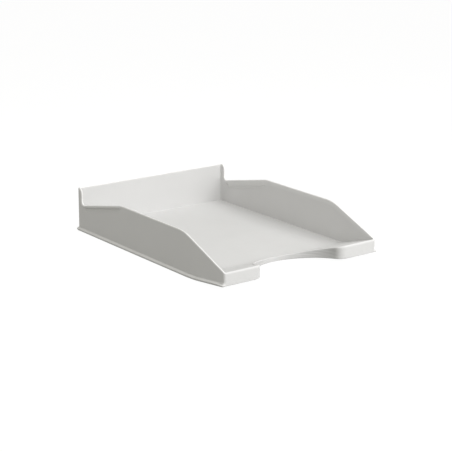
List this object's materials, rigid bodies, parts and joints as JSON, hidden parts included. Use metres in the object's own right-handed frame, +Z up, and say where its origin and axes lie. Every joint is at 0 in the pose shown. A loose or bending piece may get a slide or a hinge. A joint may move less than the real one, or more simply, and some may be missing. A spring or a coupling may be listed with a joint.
{
  "type": "letter tray",
  "caption": "Open letter tray for the desk: a flat floor, side and back walls, a low front lip with a finger recess, and a stepped base rim that stands over the tray below.",
  "frame": {"origin": "middle of the rectangle that the tray stands on, at desk level", "axes": "+X to the tray's right seen from its open front, +Y to its back wall, +Z up"},
  "size_m": [0.255, 0.345, 0.0606],
  "materials": {
    "grey_plastic": "satin moulded, fine grain"
  },
  "bodies": {
    "root": {"floor_panel": "grey_plastic", "front_ramp": "grey_plastic", "finger_recess_wall": "grey_plastic", "left_front_lip": "grey_plastic", "right_front_lip": "grey_plastic", "left_side_wall": "grey_plastic", "right_side_wall": "grey_plastic", "left_rear_post": "grey_plastic", "right_rear_post": "grey_plastic", "back_wall": "grey_plastic", "left_base_flange": "grey_plastic", "right_base_flange": "grey_plastic", "rear_base_flange": "grey_plastic"}
  },
  "joints": []
}
